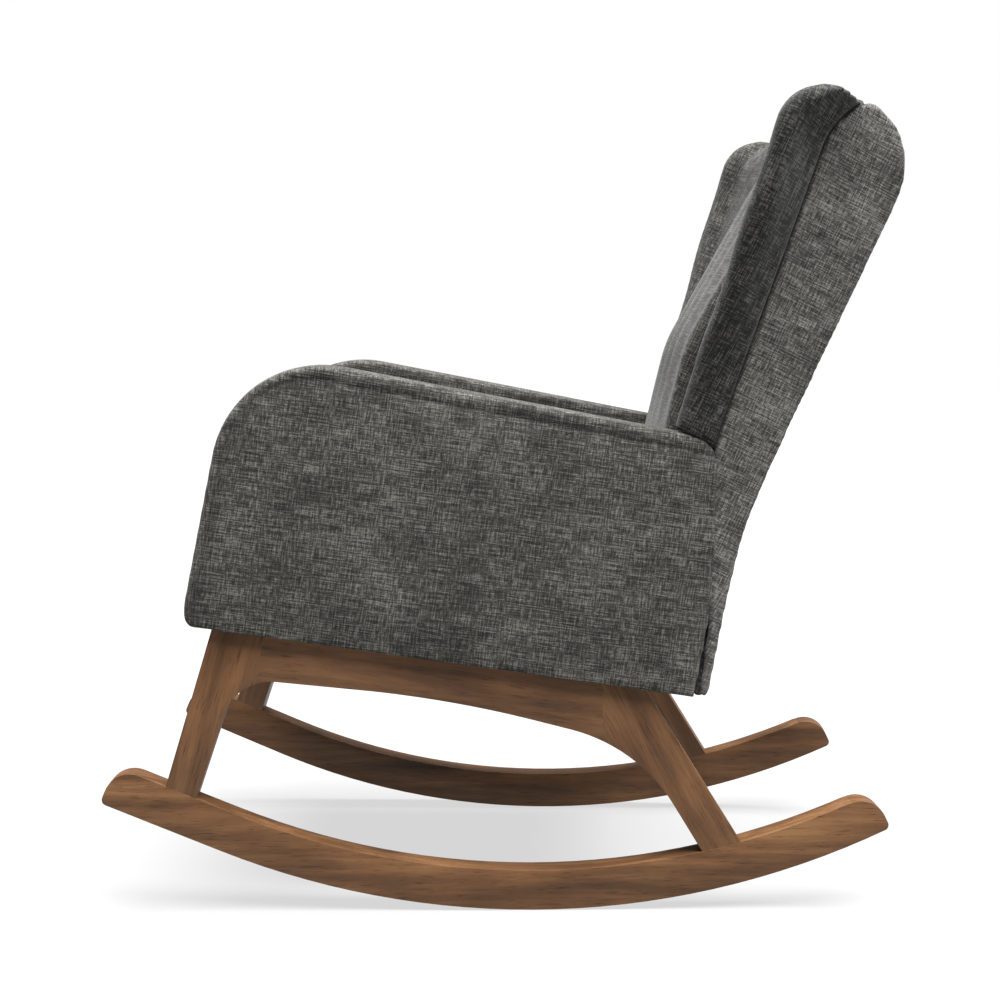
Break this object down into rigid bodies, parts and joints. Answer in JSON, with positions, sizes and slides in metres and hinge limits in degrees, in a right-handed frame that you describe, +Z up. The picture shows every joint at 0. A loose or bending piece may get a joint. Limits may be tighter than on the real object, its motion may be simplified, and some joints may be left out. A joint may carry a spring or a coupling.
{
  "type": "rocking chair",
  "caption": "Wing-back upholstered rocking chair with low padded arms, a loose seat cushion and bent wooden side frames standing on two rockers.",
  "frame": {"origin": "on the floor, in the middle of the chair's footprint", "axes": "+Z up; the sitter faces -Y and has +X on the left"},
  "size_m": [0.7318, 0.9461, 0.9731],
  "materials": {
    "walnut_wood": "satin",
    "frame_wood": "matte",
    "charcoal_linen": "matte",
    "zinc_steel": "satin",
    "black_lining": "matte",
    "webbing": "matte",
    "zip_nylon": "satin"
  },
  "bodies": {
    "chair": {"rocker_left": "walnut_wood", "rocker_right": "walnut_wood", "front_leg_left": "walnut_wood", "front_leg_right": "walnut_wood", "side_rail_left": "walnut_wood", "side_rail_right": "walnut_wood", "rear_leg_left": "walnut_wood", "rear_leg_right": "walnut_wood", "front_cross_rail": "walnut_wood", "rear_cross_rail": "walnut_wood", "corner_blocks": "frame_wood", "frame_dowels": "frame_wood", "rocker_bolts": "zinc_steel", "rocker_plugs": "walnut_wood", "base_bolts": "zinc_steel", "base_washers": "zinc_steel", "tee_nuts": "zinc_steel", "seat_rail_front": "frame_wood", "seat_rail_rear": "frame_wood", "seat_rail_left": "frame_wood", "seat_rail_right": "frame_wood", "arm_post_left": "frame_wood", "arm_post_right": "frame_wood", "arm_board_left": "frame_wood", "arm_board_right": "frame_wood", "back_post_left": "frame_wood", "back_post_right": "frame_wood", "back_top_rail": "frame_wood", "back_lumbar_rail": "frame_wood", "back_bottom_rail": "frame_wood", "wing_board_left": "frame_wood", "wing_board_right": "frame_wood", "seat_springs": "zinc_steel", "spring_clips": "zinc_steel", "back_webbing": "webbing", "seat_deck": "black_lining", "dust_cover": "black_lining", "front_border": "charcoal_linen", "arm_cover_left": "charcoal_linen", "arm_cover_right": "charcoal_linen", "back_side_left": "charcoal_linen", "back_side_right": "charcoal_linen", "wing_cover_left": "charcoal_linen", "wing_cover_right": "charcoal_linen", "inside_back": "charcoal_linen", "outside_back": "charcoal_linen", "back_crown": "charcoal_linen"},
    "loose_cushion": {"seat_cushion": "charcoal_linen", "cushion_zip": "zip_nylon"}
  },
  "joints": [
    {"name": "cushion_lift", "type": "slide", "parent": "chair", "child": "loose_cushion", "axis": [0, 0.1426, 0.9898], "range_m": [0, 0.25]}
  ]
}
